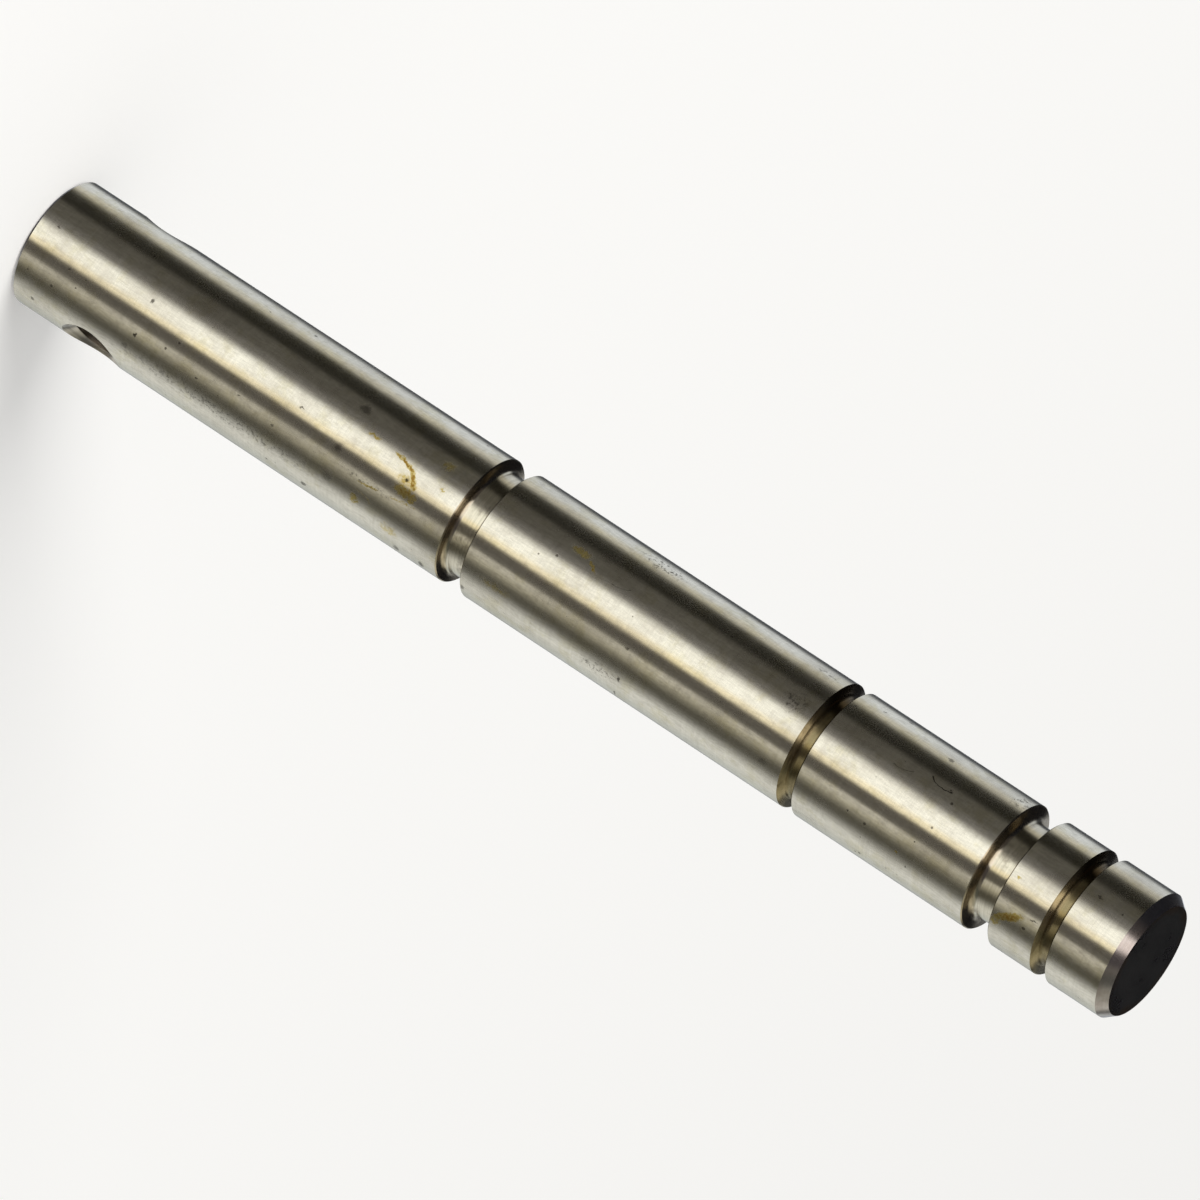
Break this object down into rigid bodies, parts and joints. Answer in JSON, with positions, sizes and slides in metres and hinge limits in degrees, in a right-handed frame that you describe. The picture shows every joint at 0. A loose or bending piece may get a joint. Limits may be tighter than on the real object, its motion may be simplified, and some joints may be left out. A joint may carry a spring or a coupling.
{
  "type": "filter pump shaft",
  "caption": "Ground round shaft with four turned ring grooves, a chamfered end and a cross hole countersunk at both mouths.",
  "frame": {"origin": "on the shaft's axis, in the plane of its lower end face, which it stands on", "axes": "+Z along the shaft's axis towards the chamfered end, +X along the cross hole"},
  "size_m": [0.0126, 0.0126, 0.1238],
  "materials": {
    "ground_steel": "cylindrically ground, with fine marks round the shaft, turned grooves and light brown stains"
  },
  "bodies": {
    "root": {"shaft": "ground_steel"}
  },
  "joints": []
}
